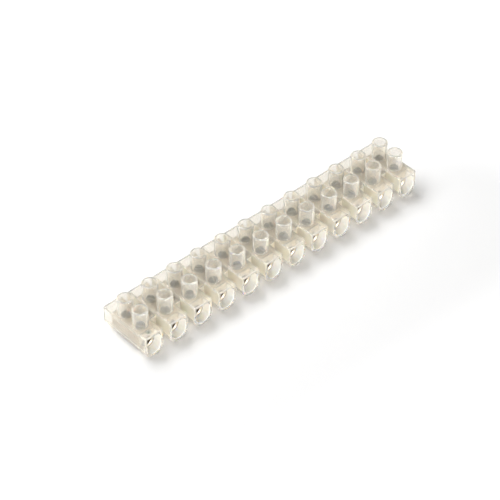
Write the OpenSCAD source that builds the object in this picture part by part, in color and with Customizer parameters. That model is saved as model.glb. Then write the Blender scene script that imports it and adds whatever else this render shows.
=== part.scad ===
// Twelve-way screw terminal strip for wires.
// One moulded housing carries a row of U-section poles joined by webs. Each pole holds a brass
// insert, and two slotted screws in the chimneys above it clamp the wires that enter from each end.
// X runs along the strip, the wires run along Y, and the strip stands on Z = 0, all in millimetres.

/* [Strip] */
// Number of poles
poles = 12; // [2:1:18]
// Gap between two poles
pole_gap = 2.7; // [2:0.1:4]
// Distance between the front and the back row of chimneys
row_gap = 7; // [5.8:0.1:10]

/* [Housing] */
// Width of one pole
pole_w = 7.3; // [6:0.1:9]
// Thickness of the sides and of the round bottom
wall = 0.9; // [0.7:0.05:1.1]
// Thickness of the deck above an insert
seat_roof = 1.8; // [1.2:0.1:2.4]
// Thickness of the deck above a wire mouth
mouth_roof = 1; // [0.6:0.1:1.2]
// Depth of a wire mouth, from the end of the pole to the insert
mouth_l = 3.3; // [2:0.1:6]
// Rounding of the long edges of the deck
deck_edge_r = 0.35; // [0.1:0.05:0.6]

/* [Chimneys] */
// Height of a chimney above the deck
chimney_h = 6; // [4:0.1:9]
// Thickness of a chimney's wall
chimney_wall = 0.65; // [0.5:0.05:0.8]
// Gap all round between a screw and its chimney
chimney_gap = 0.5; // [0.2:0.05:0.6]
// Rounding of the outer edge of a chimney's rim
rim_r = 0.3; // [0.1:0.05:0.4]
// Radius of the fillet where a chimney meets the deck
foot_r = 0.45; // [0.1:0.05:0.6]

/* [Webs] */
// Length of a web along the poles
web_d = 6.4; // [5:0.1:8]
// How far the top of a web lies below the deck
web_drop = 1.2; // [0.5:0.1:3]
// Diameter of the fixing hole in each web
fixing_d = 3.2; // [2.6:0.1:3.9]

/* [Inserts] */
// Brass beyond a screw's axis, at each end of an insert
insert_end = 3; // [2.4:0.1:5]
// Gap all round between an insert and its seat
insert_gap = 0.1; // [0.05:0.01:0.2]
// Diameter of the wire bore
bore_d = 3.2; // [2.6:0.1:3.9]
// Brass under the wire bore
bore_floor = 0.7; // [0.5:0.05:1]
// Brass above the wire bore, which holds the screws' threads
bore_roof = 2.1; // [1.6:0.1:2.8]
// Size of the lead-in chamfer at each end of the wire bore
bore_lead = 0.3; // [0.1:0.05:0.4]

/* [Screws] */
// Diameter of a screw
screw_d = 3; // [2.5:0.1:3.6]
// Length of a screw
screw_l = 3.5; // [2.9:0.1:4.5]
// Running gap all round between a screw and its tapped hole
thread_gap = 0.05; // [0.02:0.01:0.08]
// Rise of a screw in one turn
thread_rise = 0.5; // [0.3:0.05:0.8]
// Width of the screwdriver slot
slot_w = 0.6; // [0.4:0.05:0.8]
// Depth of the screwdriver slot
slot_deep = 0.8; // [0.5:0.05:1.2]
// Chamfer at the tip of a screw
tip_chamfer = 0.4; // [0.2:0.05:0.6]
// Chamfer round the slotted end of a screw
head_chamfer = 0.15; // [0.05:0.05:0.3]
// Smallest height of the front screws' tips above the wire bore
front_open = 0.35; // [0.05:0.05:0.6]
// Smallest height of the back screws' tips above the wire bore
back_open = 0.05; // [0.05:0.05:0.6]
// Slot angle of the first front screw
front_turn = 137; // [0:1:359]
// Slot angle of the first back screw
back_turn = 20; // [0:1:359]
// Turn of each slot from the one before it
turn_step = 97; // [0:1:359]

/* [Gate mark] */
// Diameter of the round gate mark on the first pole's deck
gate_d = 1.9; // [1.2:0.1:2.2]
// Depth of the gate mark
gate_deep = 0.25; // [0.1:0.05:0.4]
// Diameter of the pip left standing in the middle of the gate mark
gate_pip_d = 0.6; // [0.3:0.1:1]
// How far the gate mark lies to the left of the pole's middle
gate_left = 0.5; // [0:0.1:1.2]

/* [Hidden] */
function two_digits(n) = n < 10 ? str("0", n) : str(n);
function numbered(name) = [for (i = [1 : poles]) str(name, two_digits(i))];

$fn = 64;
// How far a cutter runs past the face it opens
past = 1;

pitch = pole_w + pole_gap;
pole_r = pole_w / 2;
cavity_r = pole_r - wall;

// The insert lies concentric with the round bottom of its seat
bore_r = bore_d / 2;
insert_r = cavity_r - insert_gap;
insert_l = row_gap + 2 * insert_end;
insert_h = bore_floor + bore_d + bore_roof;
insert_z = wall + insert_gap;
bore_z = insert_z + bore_floor + bore_r;
bore_top = bore_z + bore_r;

// The seat's ceiling holds the insert down
seat_z = insert_z + insert_h + insert_gap;
deck_z = seat_z + seat_roof;
mouth_z = deck_z - mouth_roof;
rim_z = deck_z + chimney_h;
web_z = deck_z - web_drop;
pole_d = insert_l + 2 * mouth_l;
row_y = row_gap / 2;

screw_r = screw_d / 2;
chimney_bore_r = screw_r + chimney_gap;
chimney_r = chimney_bore_r + chimney_wall;
// The fillet stays on the flat of the deck
foot_fillet_r = min(foot_r, pole_r - deck_edge_r - chimney_r);

// The gate mark lies midway between a front chimney and the front edge of the deck
gate_x = -(poles - 1) / 2 * pitch - gate_left;
gate_y = -(row_y + chimney_r + pole_d / 2) / 2;

function pole_x(i) = (i - (poles - 1) / 2) * pitch;
function slot_angle(first, i) = (first + turn_step * i) % 360;
// A screw that is turned further out of its thread stands higher
function tip_z(first, open, i) = bore_top + open + thread_rise * slot_angle(first, i) / 360;

// Straight sides and a round bottom, with rounded or square top corners
module u_section(r, top, corner_r = 0) {
    translate([0, r]) circle(r);
    translate([-r, r]) square([2 * r, top - r - corner_r]);
    if (corner_r > 0) {
        translate([-r + corner_r, r]) square([2 * (r - corner_r), top - r]);
        for (side = [-1, 1]) translate([side * (r - corner_r), top - corner_r]) circle(corner_r);
    }
}

// Runs a section, drawn with its height along Y, along the wires
module along_wires(length) {
    translate([0, length / 2, 0]) rotate([90, 0, 0]) linear_extrude(length) children();
}

module pole() {
    along_wires(pole_d) u_section(pole_r, deck_z, deck_edge_r);
}

// Half outline of a chimney: a rounded rim above and a fillet at the deck
module chimney_outline() {
    square([chimney_r, chimney_h - rim_r]);
    square([chimney_r - rim_r, chimney_h]);
    translate([chimney_r - rim_r, chimney_h - rim_r]) circle(rim_r);
    if (foot_fillet_r > 0) difference() {
        square([chimney_r + foot_fillet_r, foot_fillet_r]);
        translate([chimney_r + foot_fillet_r, foot_fillet_r]) circle(foot_fillet_r);
    }
}

module chimney() {
    rotate_extrude() chimney_outline();
}

// Seat of the insert, with a taller wire mouth at each end
module cavity() {
    translate([0, 0, wall]) {
        along_wires(pole_d + 2 * past) u_section(cavity_r, seat_z - wall);
        for (end = [-1, 1]) translate([0, end * (insert_l + mouth_l + past) / 2, 0])
            along_wires(mouth_l + past) u_section(cavity_r, mouth_z - wall);
    }
}

module web() {
    translate([-pitch / 2, -web_d / 2, 0]) cube([pitch, web_d, web_z]);
}

module gate_mark() {
    translate([gate_x, gate_y, deck_z - gate_deep]) difference() {
        cylinder(d = gate_d, h = gate_deep + past);
        cylinder(d = gate_pip_d, h = gate_deep * 0.8);
    }
}

module housing() {
    color([0.93, 0.92, 0.86, 0.6]) difference() {
        union() {
            for (i = [0 : poles - 1]) translate([pole_x(i), 0, 0]) {
                pole();
                for (side = [-1, 1]) translate([0, side * row_y, deck_z]) chimney();
            }
            for (i = [0 : poles - 2]) translate([pole_x(i + 0.5), 0, 0]) web();
        }
        for (i = [0 : poles - 1]) translate([pole_x(i), 0, 0]) {
            cavity();
            for (side = [-1, 1]) translate([0, side * row_y, bore_z])
                cylinder(r = chimney_bore_r, h = rim_z - bore_z + past);
        }
        for (i = [0 : poles - 2]) translate([pole_x(i + 0.5), 0, -past])
            cylinder(d = fixing_d, h = deck_z + 2 * past);
        gate_mark();
    }
}

// Conical lead-in at one end of the wire bore, opening towards -Z
module bore_mouth() {
    translate([0, 0, -past])
        cylinder(r1 = bore_r + bore_lead + past, r2 = bore_r, h = bore_lead + past);
}

module insert(i) {
    color([0.79, 0.6, 0.3]) translate([pole_x(i), 0, 0]) difference() {
        translate([0, 0, insert_z]) along_wires(insert_l) u_section(insert_r, insert_h);
        translate([0, insert_l / 2 + past, bore_z]) rotate([90, 0, 0])
            cylinder(r = bore_r, h = insert_l + 2 * past);
        for (end = [-1, 1]) {
            translate([0, end * insert_l / 2, bore_z]) rotate([end * 90, 0, 0]) bore_mouth();
            translate([0, end * row_y, bore_z]) cylinder(r = screw_r + thread_gap, h = insert_h);
        }
    }
}

// A headless slotted screw with its tip at Z = 0
module slotted_screw() {
    difference() {
        rotate_extrude() polygon([
            [0, 0], [screw_r - tip_chamfer, 0], [screw_r, tip_chamfer],
            [screw_r, screw_l - head_chamfer], [screw_r - head_chamfer, screw_l], [0, screw_l]
        ]);
        translate([-screw_d, -slot_w / 2, screw_l - slot_deep])
            cube([2 * screw_d, slot_w, slot_deep + past]);
    }
}

module screw(i, side, first, open) {
    color([0.42, 0.43, 0.4]) translate([pole_x(i), side * row_y, tip_z(first, open, i)])
        rotate([0, 0, slot_angle(first, i)]) slotted_screw();
}

module screw_front(i) {
    screw(i, -1, front_turn, front_open);
}

module screw_back(i) {
    screw(i, 1, back_turn, back_open);
}

housing();
for (i = [0 : poles - 1]) {
    insert(i);
    screw_front(i);
    screw_back(i);
}
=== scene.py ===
"""Looks of the twelve-way screw terminal strip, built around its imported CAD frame. Units are metres."""
import math

import bmesh
import bpy
from mathutils import Matrix, Vector


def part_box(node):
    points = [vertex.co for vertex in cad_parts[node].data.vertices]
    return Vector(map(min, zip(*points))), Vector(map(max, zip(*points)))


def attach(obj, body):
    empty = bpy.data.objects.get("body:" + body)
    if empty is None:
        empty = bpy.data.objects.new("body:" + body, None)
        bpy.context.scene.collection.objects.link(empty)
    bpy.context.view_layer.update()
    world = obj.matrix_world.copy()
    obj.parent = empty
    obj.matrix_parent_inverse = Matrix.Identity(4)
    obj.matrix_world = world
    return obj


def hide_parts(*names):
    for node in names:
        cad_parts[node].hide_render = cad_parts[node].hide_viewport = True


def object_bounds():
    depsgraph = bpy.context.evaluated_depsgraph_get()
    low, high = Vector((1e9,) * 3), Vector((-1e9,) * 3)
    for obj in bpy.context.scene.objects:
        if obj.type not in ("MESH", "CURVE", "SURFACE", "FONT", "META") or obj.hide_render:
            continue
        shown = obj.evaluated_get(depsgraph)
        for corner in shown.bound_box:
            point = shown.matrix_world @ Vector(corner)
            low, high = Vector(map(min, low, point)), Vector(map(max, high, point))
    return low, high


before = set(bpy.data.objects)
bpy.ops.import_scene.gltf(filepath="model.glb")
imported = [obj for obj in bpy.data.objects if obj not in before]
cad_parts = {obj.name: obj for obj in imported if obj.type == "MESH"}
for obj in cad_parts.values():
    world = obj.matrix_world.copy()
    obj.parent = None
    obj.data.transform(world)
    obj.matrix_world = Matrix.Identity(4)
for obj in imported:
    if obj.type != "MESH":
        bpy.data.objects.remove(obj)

MM = 0.001

cad_bounds = [list(corner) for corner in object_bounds()]
poles = sum(1 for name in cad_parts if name.startswith("insert_"))

# Worked out from the frame: half the strip's length and width, the first insert's corners, the middle
# of its pole, half a pole's width, and the step from one pole to the next
half_length, half_width = cad_bounds[1][:2]
insert_low, insert_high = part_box("insert_01")
first_x = (insert_low.x + insert_high.x) / 2
half_pole = first_x - cad_bounds[0][0]
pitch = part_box("insert_02")[0].x - insert_low.x

# Slots of the clamp screws: the turn of each row's first slot about Z and the turn from one slot to the
# next, in degrees, as the CAD model has them, and a slot's width and depth
SLOT_TURN = {"front": 137, "back": 20}
SLOT_STEP = 97
SLOT_WIDE = 0.6 * MM
SLOT_DEEP = 0.8 * MM

# Thread of the clamp screws: its rise in one turn, its depth, the shares of the rise that its flat crest
# and its flat root take, and the chamfers at a screw's ends
THREAD_RISE = 0.5 * MM
THREAD_DEEP = 0.25 * MM
THREAD_CREST = 0.125
THREAD_ROOT = 0.25
TIP_CHAMFER = 0.4 * MM
HEAD_CHAMFER = 0.15 * MM

# Mesh of the clamp screws: how many points it has round a screw, how many rows in one rise of the
# thread, and the angle in degrees from which an edge looks sharp
THREAD_POINTS = 48
THREAD_ROWS = 8
SHARP_ANGLE = 40

# Inserts: the gap round each in its seat, and the height and radius of its wire bore
SEAT_GAP = 0.1 * MM
BORE_Z = 3.3 * MM
BORE_RADIUS = 1.6 * MM

# How far from a flat face or from a bore's wall a point still counts as on it
FACE_SLACK = 0.01 * MM
BORE_SLACK = 0.02 * MM

# Range that most values of a noise lie in
NOISE_RANGE = (0.3, 0.7)

WHITE = (1, 1, 1, 1)

# Inside of the plastic: its white haze and its tint, each per metre of thickness, and the share of a
# lamp's light that each surface on the way lets through
HAZE_DENSITY = 450.0
TINT_COLOUR = (0.9, 0.75, 0.4, 1)
TINT_DENSITY = 115.0
LAMP_THROUGH = (0.34, 0.35, 0.37, 1)

# Glossy skin of the plastic: colour, refraction, clearness from 0 to 1, a fine grain's size and depth and
# the roughness that it varies, and how far light spreads under the skin in red, green and blue
SKIN_COLOUR = (1.0, 0.985, 0.95)
SKIN_IOR = 1.5
SKIN_CLEARNESS = 0.97
SKIN_GRAIN = 0.35 * MM
SKIN_BUMP = 0.004 * MM
SKIN_ROUGH = (0.11, 0.17)
SPREAD_SIZE = 1.5 * MM
SPREAD_SHARES = (1.0, 0.9, 0.75)

# Matt skin of the plastic: colour, clearness, and the roughness that it adds to the glossy skin's
MATT_COLOUR = (1.0, 0.975, 0.88)
MATT_CLEARNESS = 0.08
MATT_ROUGH = 0.4

# Where a wire mouth turns matt: outwards from the insert's end, down from its roof, and across from its
# clear side, which is the one towards -X
MOUTH_OUT = (-0.3 * MM, 0.6 * MM)
MOUTH_DOWN = (7.3 * MM, 5.8 * MM)
MOUTH_ACROSS = (-2.4 * MM, -1.2 * MM)

# Faces at both ends of the poles: how matt they are, and the heights between which that sets in
END_MATT = 0.2
END_DOWN = (7.5 * MM, 2.5 * MM)

# Faces between two poles: colour, how matt they are, and where that sets in, out from the web's middle
GAP_COLOUR = (1.0, 0.915, 0.79)
GAP_MATT = 0.44
GAP_OUT = (2.7 * MM, 3.2 * MM)

# Round gate mark on the first pole's deck: its middle, from the pole's middle, a height that it lies
# above, the radii between which its pip and its ring end, how strong the ring is beside the pip, and
# its colour
GATE = (-0.5 * MM, -7.975 * MM)
GATE_Z = 8.5 * MM
PIP_EDGE = (0.3 * MM, 0.45 * MM)
RING_EDGE = (0.97 * MM, 0.93 * MM)
RING_LEVEL = 0.55
GATE_COLOUR = (0.34, 0.4, 0.36)

# Brass: the two colours of its clouds and their size, the painted shade on a wire bore's walls, and the
# grain that the tool left, with its size, how it is drawn out along the wires, its depth and the
# roughness that it varies
BRASS = ((0.63, 0.56, 0.455), (0.72, 0.655, 0.55))
BRASS_CLOUD = 2.5 * MM
# Painted shade for the walls of the wire bores
BORE_SHADE_COLOUR = (0.22, 0.18, 0.14)
BRASS_GRAIN = 0.12 * MM
BRASS_STRETCH = (1, 0.08, 1)
BRASS_BUMP = 0.006 * MM
BRASS_ROUGH = (0.35, 0.5)

# Plated steel: the two colours of its clouds and their size, and a fine grain's size and depth and the
# roughness that it varies
STEEL = ((0.06, 0.063, 0.05), (0.15, 0.153, 0.13))
STEEL_CLOUD = 0.9 * MM
STEEL_GRAIN = 0.08 * MM
STEEL_BUMP = 0.003 * MM
STEEL_ROUGH = (0.3, 0.45)

# Light: the world's level, and each lamp's power in watts, azimuth, elevation, distance, width and height
WORLD_LEVEL = 0.15
KEY = (8.3, 200.0, 57.0, 0.9, 0.9, 0.45)
FILL = (11.6, -16.0, 6.5, 0.9, 0.9, 0.2)

# Floor: its size, how far it lies below the strip, and its colour
FLOOR_SIZE = 6
FLOOR_DROP = 0.02 * MM
FLOOR_COLOUR = (0.98, 0.98, 0.98, 1)

# Glow of the floor: its level all over, what is added away from the shadow, the distances from the
# shadow's line between which that sets in, the distances from the strip's middle between which the level
# rises to 1, and where the shadow's line runs, in front of the strip
FLOOR_GLOW = 0.04
NEAR_GLOW = 0.12
NEAR_RAMP = (0.02, 0.045)
FAR_RAMP = (0.08, 0.45)
SHADOW_Y = -0.03

# Camera: the point that it looks at, its azimuth and elevation from there in degrees and its distance,
# and its lens and its sensor's width in millimetres
TARGET = Vector((-0.00573, 0.00067, 0.006))
CAMERA_VIEW = (-42.45, 42.62)
CAMERA_DISTANCE = 0.7064
CAMERA_LENS = 159.5
CAMERA_SENSOR = 36

# How often a path of light may bounce or pass through a surface, and scatter in the haze
SURFACE_BOUNCES = 24
HAZE_BOUNCES = 8


def link_object(name, data):
    """A new object in the scene that holds the data."""
    thing = bpy.data.objects.new(name, data)
    bpy.context.scene.collection.objects.link(thing)
    return thing


# ---------------------------------------------------------------- materials

class Nodes:
    """A new node material, with short calls to add and join nodes."""

    def __init__(self, name):
        self.material = bpy.data.materials.new(name)
        self.material.use_nodes = True
        self.tree = self.material.node_tree
        self.tree.nodes.clear()
        self.place = self.add("ShaderNodeTexCoord").outputs["Object"]

    def add(self, kind, **inputs):
        """A new node, with inputs given by their names."""
        node = self.tree.nodes.new(kind)
        for name, value in inputs.items():
            self.set(node, name.replace("_", " "), value)
        return node

    def set(self, node, name, value):
        """Joins a socket to the node's input of that name or number, or sets a value there."""
        if isinstance(value, bpy.types.NodeSocket):
            self.tree.links.new(value, node.inputs[name])
        else:
            node.inputs[name].default_value = value

    def feed(self, node, values):
        """The node's first result, with its inputs given in their order."""
        for i, value in enumerate(values):
            self.set(node, i, value)
        return node.outputs[0]

    def join(self, kind, *values):
        """A new node's first result, with its inputs given in their order."""
        return self.feed(self.add(kind), values)

    def math(self, operation, *values):
        """A Math node's result, from sockets or numbers."""
        node = self.add("ShaderNodeMath")
        node.operation = operation
        return self.feed(node, values)

    def coordinates(self):
        """Where a point is along X, Y and Z."""
        return self.add("ShaderNodeSeparateXYZ", Vector=self.place).outputs

    def length(self, first, second):
        """The length of a line with these two parts at right angles."""
        squares = [self.math("MULTIPLY", part, part) for part in (first, second)]
        return self.math("SQRT", self.math("ADD", *squares))

    def ramp(self, value, start, end):
        """0 before start, 1 past end, smooth between them. An end below start turns it round."""
        node = self.add("ShaderNodeMapRange", Value=value)
        node.interpolation_type = "SMOOTHSTEP"
        node.inputs["From Min"].default_value = start
        node.inputs["From Max"].default_value = end
        return node.outputs["Result"]

    def noise(self, size, detail, stretch=(1, 1, 1)):
        """Noise between 0 and 1, with features of about that size."""
        place = self.add("ShaderNodeMapping", Vector=self.place, Scale=stretch).outputs["Vector"]
        return self.add("ShaderNodeTexNoise", Vector=place, Scale=1 / size, Detail=detail).outputs["Fac"]

    def spread(self, noise, low, high):
        """The noise, taken from the range of its values to low..high."""
        node = self.add("ShaderNodeMapRange", Value=noise)
        names = ("From Min", "From Max", "To Min", "To Max")
        for name, number in zip(names, (*NOISE_RANGE, low, high)):
            node.inputs[name].default_value = number
        return node.outputs["Result"]

    def blend(self, value, first, second):
        """A colour between first and second, each a socket or red, green and blue."""
        node = self.add("ShaderNodeMix")
        node.data_type = "RGBA"
        self.tree.links.new(value, node.inputs["Factor"])
        # A Mix node has sockets for each kind of data. The colours' are inputs 6 and 7 and output 2
        for i, colour in ((6, first), (7, second)):
            self.set(node, i, colour if isinstance(colour, bpy.types.NodeSocket) else (*colour, 1))
        return node.outputs[2]

    def bump(self, height, deep):
        """A normal that follows relief of that depth."""
        return self.add("ShaderNodeBump", Height=height, Strength=1.0, Distance=deep).outputs["Normal"]

    def show(self, surface, volume=None):
        """The finished material."""
        output = self.add("ShaderNodeOutputMaterial")
        self.tree.links.new(surface, output.inputs["Surface"])
        if volume is not None:
            self.tree.links.new(volume, output.inputs["Volume"])
        return self.material


def pole_place(m):
    """Where a point is across, along and up from the middle of its own pole's footprint."""
    x, along, up = m.coordinates()
    across = m.math("WRAP", m.math("SUBTRACT", x, first_x), pitch / 2, -pitch / 2)
    return across, along, up


def mouth_walls(m):
    """1 on the bottoms and the +X sides of the wire mouths, as if moulded on rough pins, 0 elsewhere."""
    radius = (insert_high.x - insert_low.x) / 2 + SEAT_GAP
    across, along, up = pole_place(m)
    below = m.math("MINIMUM", m.math("SUBTRACT", up, insert_low.z - SEAT_GAP + radius), 0.0)
    inside = m.math("LESS_THAN", m.length(across, below), radius + SEAT_GAP)
    outer = m.ramp(m.math("ABSOLUTE", along), *(insert_high.y + out for out in MOUTH_OUT))
    lower = m.ramp(up, *MOUTH_DOWN)
    right = m.ramp(across, *MOUTH_ACROSS)
    return m.math("MULTIPLY", m.math("MULTIPLY", inside, outer), m.math("MULTIPLY", lower, right))


def end_faces(m):
    """1 low on the faces at both ends of every pole, 0 at the deck and elsewhere."""
    _, along, up = pole_place(m)
    end = m.math("GREATER_THAN", m.math("ABSOLUTE", along), half_width - FACE_SLACK)
    return m.math("MULTIPLY", end, m.ramp(up, *END_DOWN))


def gap_faces(m):
    """1 on the faces that two poles turn to each other before and behind their web, and 0 elsewhere."""
    x = m.coordinates()[0]
    across, along, _ = pole_place(m)
    side = m.math("GREATER_THAN", m.math("ABSOLUTE", across), half_pole - FACE_SLACK)
    inner = m.math("LESS_THAN", m.math("ABSOLUTE", x), half_length - FACE_SLACK)
    past_web = m.ramp(m.math("ABSOLUTE", along), *GAP_OUT)
    return m.math("MULTIPLY", m.math("MULTIPLY", side, inner), past_web)


def gate_mark(m):
    """1 on the pip of the round gate mark on the first pole's deck, less round it, 0 elsewhere."""
    x, y, z = m.coordinates()
    off = m.length(m.math("SUBTRACT", x, first_x + GATE[0]), m.math("SUBTRACT", y, GATE[1]))
    level = m.math("MULTIPLY_ADD", m.ramp(off, *PIP_EDGE), RING_LEVEL - 1.0, 1.0)
    mark = m.math("MULTIPLY", m.ramp(off, *RING_EDGE), m.math("GREATER_THAN", z, GATE_Z))
    return m.math("MULTIPLY", mark, level)


def bore_shade_walls(m):
    """1 on the walls of the wire bores, where the brass gets painted shade, 0 everywhere else."""
    across, _, up = pole_place(m)
    from_axis = m.length(across, m.math("SUBTRACT", up, BORE_Z))
    return m.math("LESS_THAN", from_axis, BORE_RADIUS + BORE_SLACK)


def plastic_skin(m):
    """The plastic's surface: nearly clear, and paler and rougher where it is matt."""
    grain = m.noise(SKIN_GRAIN, detail=2.0)
    gate = gate_mark(m)
    gap = gap_faces(m)
    pale = m.math("MAXIMUM", mouth_walls(m), m.math("MULTIPLY", end_faces(m), END_MATT))
    matt = m.math("MAXIMUM", m.math("MAXIMUM", pale, m.math("MULTIPLY", gap, GAP_MATT)), gate)
    colour = m.blend(gap, m.blend(pale, SKIN_COLOUR, MATT_COLOUR), GAP_COLOUR)
    clearness = m.math("MULTIPLY_ADD", matt, MATT_CLEARNESS - SKIN_CLEARNESS, SKIN_CLEARNESS)
    skin = m.add("ShaderNodeBsdfPrincipled", IOR=SKIN_IOR)
    m.set(skin, "Base Color", m.blend(gate, colour, GATE_COLOUR))
    m.set(skin, "Roughness", m.math("MULTIPLY_ADD", matt, MATT_ROUGH, m.spread(grain, *SKIN_ROUGH)))
    m.set(skin, "Transmission Weight", clearness)
    m.set(skin, "Subsurface Weight", 1.0)
    m.set(skin, "Subsurface Radius", SPREAD_SHARES)
    m.set(skin, "Subsurface Scale", SPREAD_SIZE)
    m.set(skin, "Normal", m.bump(grain, SKIN_BUMP))
    return skin.outputs[0]


def natural_plastic():
    """Milky moulded plastic without pigment: a clear skin over a haze that grows with thickness."""
    m = Nodes("natural_plastic")
    lamp_ray = m.add("ShaderNodeLightPath").outputs["Is Shadow Ray"]
    to_lamp = m.join("ShaderNodeBsdfTransparent", LAMP_THROUGH)
    surface = m.join("ShaderNodeMixShader", lamp_ray, plastic_skin(m), to_lamp)
    haze = m.add("ShaderNodeVolumeScatter", Color=WHITE, Density=HAZE_DENSITY)
    tint = m.add("ShaderNodeVolumeAbsorption", Color=TINT_COLOUR, Density=TINT_DENSITY)
    return m.show(surface, m.join("ShaderNodeAddShader", haze.outputs[0], tint.outputs[0]))


def turned_brass():
    """Turned brass with soft clouds of colour, and painted shade on the walls of the wire bores."""
    m = Nodes("turned_brass")
    grain = m.noise(BRASS_GRAIN, detail=3.0, stretch=BRASS_STRETCH)
    cloud = m.noise(BRASS_CLOUD, detail=3.0)
    body = m.add("ShaderNodeBsdfPrincipled", Metallic=1.0)
    # Painted shade: the walls of the wire bores get a dark colour that stands in for the shade deep
    # inside them
    m.set(body, "Base Color", m.blend(bore_shade_walls(m), m.blend(cloud, *BRASS), BORE_SHADE_COLOUR))
    m.set(body, "Roughness", m.spread(grain, *BRASS_ROUGH))
    m.set(body, "Normal", m.bump(grain, BRASS_BUMP))
    return m.show(body.outputs[0])


def plated_steel():
    """Dull, uneven plating on steel."""
    m = Nodes("plated_steel")
    cloud = m.noise(STEEL_CLOUD, detail=3.0)
    grain = m.noise(STEEL_GRAIN, detail=2.0)
    body = m.add("ShaderNodeBsdfPrincipled", Metallic=1.0)
    m.set(body, "Base Color", m.blend(cloud, *STEEL))
    m.set(body, "Roughness", m.spread(grain, *STEEL_ROUGH))
    m.set(body, "Normal", m.bump(grain, STEEL_BUMP))
    return m.show(body.outputs[0])


def seen_straight(tree):
    """1 for rays from the camera, and for those that metal or clear plastic sends on."""
    path = tree.nodes.new("ShaderNodeLightPath")
    total = path.outputs["Is Camera Ray"]
    for name in ("Is Glossy Ray", "Is Transmission Ray"):
        either = tree.nodes.new("ShaderNodeMath")
        either.operation = "MAXIMUM"
        tree.links.new(total, either.inputs[0])
        tree.links.new(path.outputs[name], either.inputs[1])
        total = either.outputs[0]
    return total


def white_ground():
    """A white floor that keeps the strip's shadow, and stays white where the lamps reach it less."""
    m = Nodes("white_ground")
    x, y, _ = m.coordinates()
    beyond = m.math("MAXIMUM", m.math("SUBTRACT", m.math("ABSOLUTE", x), half_length), 0.0)
    near = m.ramp(m.length(beyond, m.math("SUBTRACT", y, SHADOW_Y)), *NEAR_RAMP)
    far = m.ramp(m.length(x, y), *FAR_RAMP)
    level = m.math("MAXIMUM", m.math("MULTIPLY_ADD", near, NEAR_GLOW, FLOOR_GLOW), far)
    glow = m.add("ShaderNodeEmission", Color=WHITE)
    m.set(glow, "Strength", m.math("MULTIPLY", seen_straight(m.tree), level))
    paper = m.add("ShaderNodeBsdfDiffuse", Color=FLOOR_COLOUR)
    return m.show(m.join("ShaderNodeAddShader", paper.outputs[0], glow.outputs[0]))


def dress(prefix, material):
    """Gives every CAD node with that prefix the material."""
    for name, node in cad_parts.items():
        if name.startswith(prefix):
            node.data.materials.clear()
            node.data.materials.append(material)


# ---------------------------------------------------------------- screws

def thread_radius(turn, height, outer, length):
    """Radius of the threaded screw at an angle, in turns, and a height above its tip."""
    phase = (height / THREAD_RISE - turn) % 1.0
    flank = (1.0 - THREAD_CREST - THREAD_ROOT) / 2
    side = min(max((abs(phase - 0.5) - THREAD_ROOT / 2) / flank, 0.0), 1.0)
    tip = outer - TIP_CHAMFER + height
    head = outer - HEAD_CHAMFER + (length - height)
    return min(outer - THREAD_DEEP * (1 - side), tip, head)


def screw_mesh(outer, length):
    """A headless threaded screw with its tip at the origin, not yet slotted."""
    rows = round(length / THREAD_RISE * THREAD_ROWS)
    bm = bmesh.new()
    rings = []
    for row in range(rows + 1):
        z = length * row / rows
        ring = []
        for step in range(THREAD_POINTS):
            turn = step / THREAD_POINTS
            r = thread_radius(turn, z, outer, length)
            ring.append(bm.verts.new((r * math.cos(math.tau * turn), r * math.sin(math.tau * turn), z)))
        rings.append(ring)
    for low, high in zip(rings, rings[1:]):
        for i in range(THREAD_POINTS):
            j = (i + 1) % THREAD_POINTS
            bm.faces.new((low[i], low[j], high[j], high[i]))
    bm.faces.new(rings[0][::-1])
    bm.faces.new(rings[-1])
    mesh = bpy.data.meshes.new("screw")
    bm.to_mesh(mesh)
    bm.free()
    return mesh


def slot_cutter(outer, length):
    """A block along X in the place of a screw's slot, that stands out past its sides and its top."""
    low = Vector((-2 * outer, -SLOT_WIDE / 2, length - SLOT_DEEP))
    high = Vector((2 * outer, SLOT_WIDE / 2, 2 * length))
    place = Matrix.Translation((high + low) / 2) @ Matrix.Diagonal((*(high - low), 1))
    bm = bmesh.new()
    bmesh.ops.create_cube(bm, size=1)
    bmesh.ops.transform(bm, verts=bm.verts, matrix=place)
    mesh = bpy.data.meshes.new("cutter")
    bm.to_mesh(mesh)
    bm.free()
    return link_object("cutter", mesh)


def slotted(mesh, outer, length):
    """The screw's mesh with its slot cut along X."""
    blank = link_object("blank", mesh)
    cutter = slot_cutter(outer, length)
    cut = blank.modifiers.new("slot", "BOOLEAN")
    cut.operation = "DIFFERENCE"
    cut.solver = "EXACT"
    cut.object = cutter
    bpy.context.view_layer.update()
    depsgraph = bpy.context.evaluated_depsgraph_get()
    result = bpy.data.meshes.new_from_object(blank.evaluated_get(depsgraph))
    bpy.data.objects.remove(blank)
    bpy.data.objects.remove(cutter)
    return result


def smooth_by_angle(mesh, degrees):
    """Shades a mesh smooth, with edges sharper than the angle left sharp."""
    bm = bmesh.new()
    bm.from_mesh(mesh)
    for face in bm.faces:
        face.smooth = True
    for edge in bm.edges:
        edge.smooth = edge.calc_face_angle(0.0) < math.radians(degrees)
    bm.to_mesh(mesh)
    bm.free()


def build_screws(material):
    """Puts a threaded, slotted screw in the place of every plain CAD screw."""
    low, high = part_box("screw_front_01")
    outer = (high.x - low.x) / 2
    length = high.z - low.z
    template = slotted(screw_mesh(outer, length), outer, length)
    smooth_by_angle(template, SHARP_ANGLE)
    for side, first in SLOT_TURN.items():
        for i in range(poles):
            node = f"screw_{side}_{i + 1:02d}"
            low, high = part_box(node)
            middle = (low + high) / 2
            mesh = template.copy()
            turn = Matrix.Rotation(math.radians(first + SLOT_STEP * i), 4, "Z")
            mesh.transform(Matrix.Translation((middle.x, middle.y, low.z)) @ turn)
            mesh.materials.clear()
            mesh.materials.append(material)
            piece = link_object(f"threaded_{node}", mesh)
            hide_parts(node)
            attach(piece, node)


# ---------------------------------------------------------------- stage, light and camera

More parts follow.
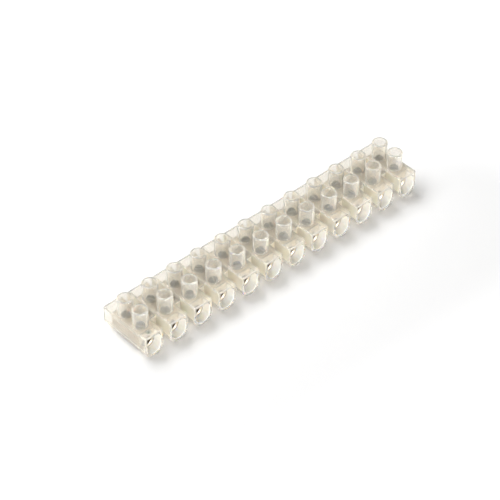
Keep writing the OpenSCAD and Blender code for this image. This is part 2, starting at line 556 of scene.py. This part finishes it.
def build_stage():
    """The floor that the strip stands on."""
    bpy.ops.mesh.primitive_plane_add(size=FLOOR_SIZE, location=(0, 0, -FLOOR_DROP))
    floor = bpy.context.active_object
    floor.name = "ground"
    floor.data.materials.append(white_ground())


def build_world():
    """Surroundings that look white, but light the strip only a little."""
    world = bpy.data.worlds.new("studio")
    bpy.context.scene.world = world
    world.use_nodes = True
    tree = world.node_tree
    tree.nodes.clear()
    level = tree.nodes.new("ShaderNodeMapRange")
    tree.links.new(seen_straight(tree), level.inputs["Value"])
    level.inputs["To Min"].default_value = WORLD_LEVEL
    level.inputs["To Max"].default_value = 1.0
    sky = tree.nodes.new("ShaderNodeBackground")
    tree.links.new(level.outputs["Result"], sky.inputs["Strength"])
    output = tree.nodes.new("ShaderNodeOutputWorld")
    tree.links.new(sky.outputs[0], output.inputs["Surface"])


def towards(azimuth, elevation):
    """Unit vector to a place seen at that azimuth and elevation, in degrees."""
    turn = math.radians(azimuth)
    rise = math.radians(elevation)
    return Vector((math.sin(turn) * math.cos(rise), -math.cos(turn) * math.cos(rise), math.sin(rise)))


def aim(thing, target):
    """Turns a lamp or a camera to face the target."""
    thing.rotation_euler = (target - thing.location).to_track_quat("-Z", "Y").to_euler()


def softbox(name, power, azimuth, elevation, distance, width, height):
    """A lamp with a wide face, aimed at the middle of the strip's footprint."""
    lamp = bpy.data.lights.new(name, "AREA")
    lamp.shape = "RECTANGLE"
    lamp.size = width
    lamp.size_y = height
    lamp.energy = power
    lamp_object = link_object(name, lamp)
    lamp_object.location = distance * towards(azimuth, elevation)
    aim(lamp_object, Vector((0, 0, 0)))


def build_camera():
    """A long lens that sees the strip as the photo does."""
    data = bpy.data.cameras.new("camera")
    data.lens = CAMERA_LENS
    data.sensor_width = CAMERA_SENSOR
    camera = link_object("camera", data)
    camera.location = TARGET + CAMERA_DISTANCE * towards(*CAMERA_VIEW)
    aim(camera, TARGET)
    bpy.context.scene.camera = camera


def set_bounces():
    """Lets light get through all the walls of the strip."""
    cycles = bpy.context.scene.cycles
    cycles.max_bounces = SURFACE_BOUNCES
    cycles.transmission_bounces = SURFACE_BOUNCES
    cycles.transparent_max_bounces = SURFACE_BOUNCES
    cycles.volume_bounces = HAZE_BOUNCES


build_camera()
build_stage()
build_world()
softbox("key", *KEY)
softbox("fill", *FILL)
dress("housing", natural_plastic())
dress("insert_", turned_brass())
build_screws(plated_steel())
bpy.context.scene.view_settings.view_transform = "Standard"
set_bounces()
